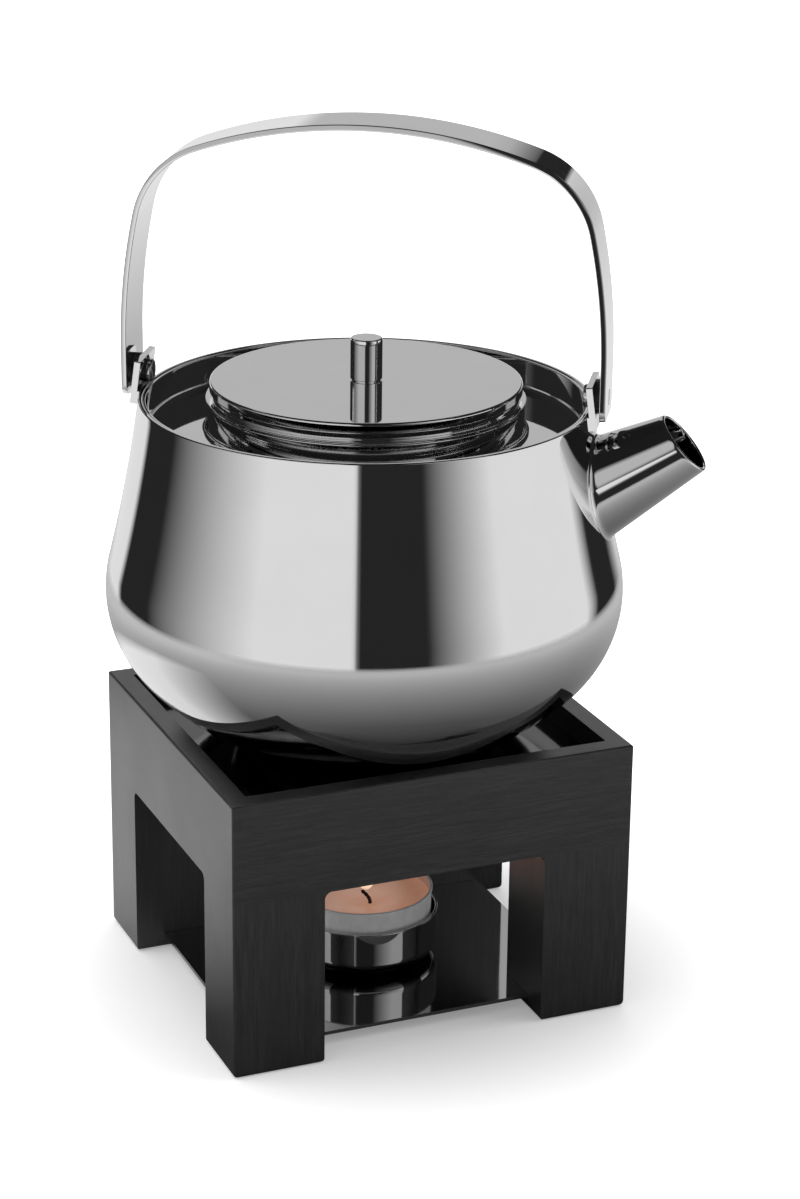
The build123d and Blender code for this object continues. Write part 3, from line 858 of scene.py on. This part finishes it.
# The holder is polished down to its rounded foot, where painted shade darkens its colour to near
# black
def holder_look():
    mat = steel("holder_look", (0.76, 0.76, 0.76), 0.015, 0.045)
    tree = mat.node_tree
    shader = tree.nodes["Principled BSDF"]
    polished = shader.inputs["Base Color"].links[0].from_socket
    source = node(tree, "ShaderNodeTexCoord")
    split = node(tree, "ShaderNodeSeparateXYZ")
    link(tree, source.outputs["Object"], split.inputs["Vector"])
    # Painted shade: the steel's colour fades to near black towards the foot, below a set height
    made = node(tree, "ShaderNodeMix", data_type="RGBA")
    foot = ramp(tree, split.outputs["Z"], 0.0, 1.0, (BASE_TOP + 2.4) * MM, (BASE_TOP + 4.6) * MM)
    link(tree, foot, made.inputs["Factor"])
    made.inputs["A"].default_value = (0.05, 0.05, 0.05, 1.0)
    link(tree, polished, made.inputs["B"])
    link(tree, made.outputs["Result"], shader.inputs["Base Color"])
    return mat


# Ebonised wood: black stain over open grain; grain runs along the given axis
def wood(name, grain):
    mat, tree, shader = material(name)
    stretch = [1.0, 1.0, 1.0]
    stretch[grain] = 0.045
    vector = coordinates(tree, tuple(stretch))
    pores = noise(tree, vector, 2600.0, 3.0, 0.62)
    bands = noise(tree, vector, 520.0, 4.0, 0.55)
    stain = noise(tree, coordinates(tree, (1.0, 1.0, 1.0)), 34.0, 3.0)
    both = node(tree, "ShaderNodeMath", operation="MULTIPLY")
    link(tree, ramp(tree, pores, 0.25, 1.0, 0.35, 0.62), both.inputs[0])
    link(tree, ramp(tree, bands, 0.55, 1.0, 0.35, 0.65), both.inputs[1])
    tone = mixed(tree, both.outputs[0], (0.006, 0.006, 0.0063), (0.026, 0.0258, 0.0254))
    link(tree, tone, shader.inputs["Base Color"])
    link(tree, ramp(tree, stain, 0.4, 0.52), shader.inputs["Roughness"])
    shader.inputs["Coat Weight"].default_value = 1.0
    shader.inputs["Coat Roughness"].default_value = 0.34
    bump(tree, shader, both.outputs[0], 0.55, 0.00015)
    return mat


wood_x = wood("black_wood_x_look", 0)
wood_y = wood("black_wood_y_look", 1)
wood_z = wood("black_wood_z_look", 2)


# Pressed foil: soft, slightly crinkled
def foil_look():
    mat, tree, shader = material("foil_look")
    crinkle = noise(tree, coordinates(tree, (1.0, 1.0, 0.5)), 420.0, 3.0, 0.6)
    tone = mixed(tree, ramp(tree, crinkle, 0.0, 1.0), (0.84, 0.84, 0.84), (0.97, 0.97, 0.97))
    link(tree, tone, shader.inputs["Base Color"])
    shader.inputs["Metallic"].default_value = 0.2
    link(tree, ramp(tree, crinkle, 0.3, 0.45), shader.inputs["Roughness"])
    bump(tree, shader, crinkle, 0.5, 0.0002)
    return mat


# Warm wax with a painted glow, strongest near the wick, that stands in for the flame's light
def wax_look():
    mat, tree, shader = material("wax_look")
    vector = coordinates(tree, (1.0, 1.0, 1.0))
    cloud = noise(tree, vector, 160.0, 3.0)
    shade = mixed(tree, ramp(tree, cloud, 0.0, 1.0), (0.84, 0.57, 0.44), (0.93, 0.72, 0.60))
    link(tree, shade, shader.inputs["Base Color"])
    shader.inputs["Roughness"].default_value = 0.16
    shader.inputs["Subsurface Weight"].default_value = 0.35
    shader.inputs["Subsurface Radius"].default_value = (1.0, 0.45, 0.2)
    shader.inputs["Subsurface Scale"].default_value = 0.004
    # Painted glow: emission that fades with distance from the wick stands in for the flame's
    # light on the wax
    glow = node(tree, "ShaderNodeVectorMath", operation="DISTANCE")
    source = node(tree, "ShaderNodeTexCoord")
    link(tree, source.outputs["Object"], glow.inputs[0])
    glow.inputs[1].default_value = WICK_FOOT * MM + UP * (WAX_TOP * MM)
    near = ramp(tree, glow.outputs["Value"], 0.32, 0.20, 0.002, 0.017)
    link(tree, near, shader.inputs["Emission Strength"])
    shader.inputs["Emission Color"].default_value = (1.0, 0.46, 0.28, 1.0)
    return mat


def wick_look():
    mat, tree, shader = material("wick_look")
    strands = noise(tree, coordinates(tree, (1.0, 1.0, 0.4)), 3000.0, 2.0)
    tone = mixed(tree, ramp(tree, strands, 0.0, 1.0), (0.006, 0.005, 0.004), (0.04, 0.03, 0.025))
    link(tree, tone, shader.inputs["Base Color"])
    shader.inputs["Roughness"].default_value = 0.8
    bump(tree, shader, strands, 0.6, 0.0001)
    return mat


def flame_look():
    mat, tree, shader = material("flame_look")
    source = node(tree, "ShaderNodeTexCoord")
    split = node(tree, "ShaderNodeSeparateXYZ")
    link(tree, source.outputs["Generated"], split.inputs["Vector"])
    height = split.outputs["Z"]
    rise = ramp(tree, height, 0.0, 1.0, 0.0, 0.6)
    tone = mixed(tree, rise, (1.0, 0.70, 0.48), (1.0, 0.90, 0.70))
    link(tree, tone, shader.inputs["Emission Color"])
    link(tree, ramp(tree, height, 1.0, 1.6, 0.0, 0.35), shader.inputs["Emission Strength"])
    shader.inputs["Base Color"].default_value = (1.0, 0.7, 0.4, 1.0)
    link(tree, ramp(tree, height, 0.25, 0.9, 0.0, 0.3), shader.inputs["Alpha"])
    return mat


def bush_look():
    mat, tree, shader = material("bush_look")
    cloud = noise(tree, coordinates(tree, (1.0, 1.0, 1.0)), 700.0, 2.0)
    tone = mixed(tree, ramp(tree, cloud, 0.0, 1.0), (0.012, 0.012, 0.012), (0.03, 0.03, 0.03))
    link(tree, tone, shader.inputs["Base Color"])
    link(tree, ramp(tree, cloud, 0.28, 0.4), shader.inputs["Roughness"])
    return mat


def dress(obj, mat):
    obj.data.materials.clear()
    obj.data.materials.append(mat)


for obj in (pot_shell, deck_ring, lid_dish, knob_post, spout_tube, bail_band):
    dress(obj, mirror_steel)
dress(holder_cup, holder_look())
dress(bail_pivots, pin_steel)
spout_tube.data.materials.append(inside_steel)
dress(foil_cup, foil_look())
dress(wax_pool, wax_look())
dress(wick_rope, wick_look())
dress(flame, flame_look())

dark_bush = bush_look()
node_looks = {
    "apron_front": wood_x,
    "apron_back": wood_x,
    "apron_left": wood_y,
    "apron_right": wood_y,
    "leg_front_left": wood_z,
    "leg_front_right": wood_z,
    "leg_back_left": wood_z,
    "leg_back_right": wood_z,
    "base_plate": plate_steel,
    "heat_plate": blackened_steel,
    "lid_skirt": mirror_steel,
    "bracket_spout_side": mirror_steel,
    "bracket_far_side": mirror_steel,
    "knob_screw": screw_steel,
    "bush_spout_side": dark_bush,
    "bush_far_side": dark_bush,
    "wick_clip": clip_metal,
}
for name, look in node_looks.items():
    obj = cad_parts[name]
    for place in obj.material_slots:
        place.material = look
    if name.startswith("bracket"):
        edge = obj.modifiers.new("edge", "BEVEL")
        edge.width = 0.0002
        edge.segments = 3
        edge.limit_method = "ANGLE"
        edge.harden_normals = False


# Studio: floor, world and lamps
def make_floor():
    mesh = bpy.data.meshes.new("studio_floor")
    half = 6.0
    mesh.from_pydata(
        [(-half, -half, 0.0), (half, -half, 0.0), (half, half, 0.0), (-half, half, 0.0)],
        [],
        [(0, 1, 2, 3)],
    )
    floor = bpy.data.objects.new("studio_floor", mesh)
    bpy.context.scene.collection.objects.link(floor)
    mat = bpy.data.materials.new("studio_floor_look")
    mat.use_nodes = True
    tree = mat.node_tree
    tree.nodes.clear()
    out = node(tree, "ShaderNodeOutputMaterial")
    path = node(tree, "ShaderNodeLightPath")
    seen = node(tree, "ShaderNodeMath", operation="MAXIMUM")
    link(tree, path.outputs["Is Camera Ray"], seen.inputs[0])
    link(tree, path.outputs["Is Transmission Ray"], seen.inputs[1])

    place = node(tree, "ShaderNodeTexCoord")
    far = node(tree, "ShaderNodeVectorMath", operation="LENGTH")
    link(tree, place.outputs["Object"], far.inputs[0])
    white = node(tree, "ShaderNodeEmission")
    white.inputs["Color"].default_value = (1.0, 1.0, 1.0, 1.0)
    glow = ramp(tree, far.outputs["Value"], 0.23, 1.0, *FLOOR_GLOW)
    glow.node.interpolation_type = "SMOOTHSTEP"
    link(tree, glow, white.inputs["Strength"])
    pale = node(tree, "ShaderNodeBsdfDiffuse")
    pale.inputs["Color"].default_value = (0.8, 0.8, 0.8, 1.0)
    for_camera = node(tree, "ShaderNodeAddShader")
    link(tree, white.outputs[0], for_camera.inputs[0])
    link(tree, pale.outputs[0], for_camera.inputs[1])

    turn, _ = compass(tree, place.outputs["Object"])
    # Painted shade: the table seen in the steel is darkened towards the stand, over TABLE_FADE
    grey = node(tree, "ShaderNodeMath", operation="MULTIPLY")
    link(tree, ramp(tree, far.outputs["Value"], 0.14, 0.64, *TABLE_FADE), grey.inputs[0])
    grey.inputs[1].default_value = TABLE_GREY
    beside = node(tree, "ShaderNodeMath", operation="MULTIPLY")
    link(tree, ramp(tree, far.outputs["Value"], 1.0, 0.0, *NEAR_FADE), beside.inputs[0])
    link(tree, ring(tree, turn, flag_levels(TABLE_GREY, FLAGS_NEAR, 0.0)), beside.inputs[1])
    paler = node(tree, "ShaderNodeMath", operation="MAXIMUM")
    link(tree, grey.outputs[0], paler.inputs[0])
    link(tree, beside.outputs[0], paler.inputs[1])
    tint = node(tree, "ShaderNodeCombineColor")
    for channel in ("Red", "Green", "Blue"):
        link(tree, paler.outputs[0], tint.inputs[channel])
    table = node(tree, "ShaderNodeBsdfDiffuse")
    link(tree, tint.outputs["Color"], table.inputs["Color"])
    clear = node(tree, "ShaderNodeBsdfTransparent")
    for_steel = node(tree, "ShaderNodeMixShader")
    link(tree, ramp(tree, far.outputs["Value"], 0.0, 1.0, *TABLE_EDGE), for_steel.inputs[0])
    link(tree, table.outputs[0], for_steel.inputs[1])
    link(tree, clear.outputs[0], for_steel.inputs[2])
    not_seen = node(tree, "ShaderNodeMixShader")
    link(tree, path.outputs["Is Glossy Ray"], not_seen.inputs[0])
    link(tree, pale.outputs[0], not_seen.inputs[1])
    link(tree, for_steel.outputs[0], not_seen.inputs[2])
    final = node(tree, "ShaderNodeMixShader")
    link(tree, seen.outputs[0], final.inputs[0])
    link(tree, not_seen.outputs[0], final.inputs[1])
    link(tree, for_camera.outputs[0], final.inputs[2])
    link(tree, final.outputs[0], out.inputs["Surface"])
    mesh.materials.append(mat)


# What the steel mirrors: a pale room with three black flags low round the table and three more
# above them. A flag runs between two compass angles, counted from the front and turning to the
# right, and fades out over the two angles given after them
FLAG_DARK = 0.02
PALE_LOW = 0.8
FLAGS_LOW = (
    (-25, 5, 2, 35),
    (100, 120, 10, 20),
    (205, 230, 5, 60),
)
PALE_HIGH = 0.5
FLAGS_HIGH = (
    (-30, -5, 5, 30),
    (45, 145, 3, 3),
    (175, 235, 3, 50),
)

# Heights in the mirror, as the sine of the elevation, between which the low flags give way to the
# high ones, and the room to its dark ceiling
FLAG_BAND = (0.132, 0.152)
CEILING_BAND = (0.59, 0.69)
CEILING_DARK = 0.012

# The table in the mirror is one grey, darkened towards the stand by painted shade, and paler
# close to the stand on its left and back
TABLE_GREY = 0.75
FLAGS_NEAR = ((-70, 160, 50, 20),)

# Distances over the floor in metres: where the white shown to the camera comes in, and where the
# mirrored table's painted shade near the stand fades out, where its near part ends and where it
# stops
FLOOR_GLOW = (0.03, 0.21)
TABLE_FADE = (0.09, 0.35)
NEAR_FADE = (0.215, 0.285)
TABLE_EDGE = (0.40, 0.50)


# Brightness round the compass of a pale room with flags, as (angle, level) pairs
def flag_levels(pale, flags, dark=FLAG_DARK):
    def level_at(angle):
        shade = 0.0
        for start, end, before, after in flags:
            turn = (angle - start + before) % 360.0
            left = before + end - start + after - turn
            shade = max(shade, min(1.0, turn / before, left / after))
        return pale + (dark - pale) * shade

    angles = {-180.0, 180.0}
    for start, end, before, after in flags:
        for angle in (start - before, start, end, end + after):
            angles.add((angle + 180.0) % 360.0 - 180.0)
    return [(angle, level_at(angle)) for angle in sorted(angles)]


# Compass angle of a direction or place, as a share of a whole turn, and its height
def compass(tree, vector):
    split = node(tree, "ShaderNodeSeparateXYZ")
    link(tree, vector, split.inputs["Vector"])
    front = node(tree, "ShaderNodeMath", operation="MULTIPLY")
    front.inputs[1].default_value = -1.0
    link(tree, split.outputs["Y"], front.inputs[0])
    angle = node(tree, "ShaderNodeMath", operation="ARCTAN2")
    link(tree, split.outputs["X"], angle.inputs[0])
    link(tree, front.outputs[0], angle.inputs[1])
    return ramp(tree, angle.outputs[0], 0.0, 1.0, -pi, pi), split.outputs["Z"]


def ring(tree, turn, levels):
    made = node(tree, "ShaderNodeValToRGB")
    stops = made.color_ramp.elements
    for _ in levels[2:]:
        stops.new(0.5)
    for stop, (angle, level) in zip(stops, levels):
        stop.position = (angle + 180.0) / 360.0
        stop.color = (level, level, level, 1.0)
    link(tree, turn, made.inputs[0])
    return made.outputs["Color"]


def blend(tree, factor, a, b):
    made = node(tree, "ShaderNodeMix", data_type="RGBA")
    link(tree, factor, made.inputs["Factor"])
    link(tree, a, made.inputs["A"])
    if isinstance(b, float):
        made.inputs["B"].default_value = (b, b, b, 1.0)
    else:
        link(tree, b, made.inputs["B"])
    return made.outputs["Result"]


def make_world():
    world = bpy.data.worlds.new("studio")
    bpy.context.scene.world = world
    world.use_nodes = True
    tree = world.node_tree
    tree.nodes.clear()
    out = node(tree, "ShaderNodeOutputWorld")
    path = node(tree, "ShaderNodeLightPath")
    source = node(tree, "ShaderNodeTexCoord")
    turn, height = compass(tree, source.outputs["Generated"])
    walls = blend(
        tree,
        ramp(tree, height, 0.0, 1.0, *FLAG_BAND),
        ring(tree, turn, flag_levels(PALE_LOW, FLAGS_LOW)),
        ring(tree, turn, flag_levels(PALE_HIGH, FLAGS_HIGH)),
    )
    walls = blend(tree, ramp(tree, height, 0.0, 1.0, *CEILING_BAND), walls, CEILING_DARK)

    shown = node(tree, "ShaderNodeBackground")
    shown.inputs["Color"].default_value = (1.0, 1.0, 1.0, 1.0)
    mirrored = node(tree, "ShaderNodeBackground")
    link(tree, walls, mirrored.inputs["Color"])
    soft = node(tree, "ShaderNodeBackground")
    soft.inputs["Color"].default_value = (0.8, 0.8, 0.8, 1.0)
    soft.inputs["Strength"].default_value = 0.55
    seen = node(tree, "ShaderNodeMath", operation="MAXIMUM")
    link(tree, path.outputs["Is Camera Ray"], seen.inputs[0])
    link(tree, path.outputs["Is Transmission Ray"], seen.inputs[1])
    inner_mix = node(tree, "ShaderNodeMixShader")
    link(tree, path.outputs["Is Glossy Ray"], inner_mix.inputs[0])
    link(tree, soft.outputs[0], inner_mix.inputs[1])
    link(tree, mirrored.outputs[0], inner_mix.inputs[2])
    final = node(tree, "ShaderNodeMixShader")
    link(tree, seen.outputs[0], final.inputs[0])
    link(tree, inner_mix.outputs[0], final.inputs[1])
    link(tree, shown.outputs[0], final.inputs[2])
    link(tree, final.outputs[0], out.inputs["Surface"])


def lamp(name, place, target, size, power):
    light = bpy.data.lights.new(name, "AREA")
    light.shape = "RECTANGLE"
    light.size, light.size_y = size
    light.energy = power
    obj = bpy.data.objects.new(name, light)
    obj.location = place
    obj.rotation_mode = "QUATERNION"
    obj.rotation_quaternion = (Vector(target) - Vector(place)).to_track_quat("-Z", "Y")
    obj.visible_glossy = False
    bpy.context.scene.collection.objects.link(obj)


make_floor()
make_world()
lamp("lamp_over", (-0.1, 0.45, 1.4), (0.0, 0.0, 0.1), (1.6, 1.6), 14.0)
lamp("lamp_left", (-1.2, 0.3, 0.9), (0.0, 0.0, 0.1), (0.9, 0.9), 6.0)
lamp("lamp_right", (1.2, -0.5, 0.8), (0.0, 0.0, 0.1), (0.8, 0.8), 5.0)

# Camera where the photograph was taken from
CAMERA_LENS = 91.92
CAMERA_ROLL = 0.012
camera_place = Vector((AXIS_X * MM - 0.2864, -0.6968, 0.3783))
camera_target = Vector((AXIS_X * MM + 0.0101, 0.0, 0.104))
back = (camera_place - camera_target).normalized()
right = UP.cross(back).normalized()
top = back.cross(right)
rolled_right = right * cos(CAMERA_ROLL) + top * sin(CAMERA_ROLL)
rolled_top = top * cos(CAMERA_ROLL) - right * sin(CAMERA_ROLL)
camera_data = bpy.data.cameras.new("camera")
camera_data.lens = CAMERA_LENS
camera_data.sensor_width = 36.0
camera_data.clip_start = 0.01
camera_data.clip_end = 100.0
camera = bpy.data.objects.new("camera", camera_data)
turned = Matrix((rolled_right, rolled_top, back)).transposed().to_4x4()
turned.translation = camera_place
camera.matrix_world = turned
bpy.context.scene.collection.objects.link(camera)
bpy.context.scene.camera = camera
bpy.context.scene.view_settings.view_transform = "Standard"
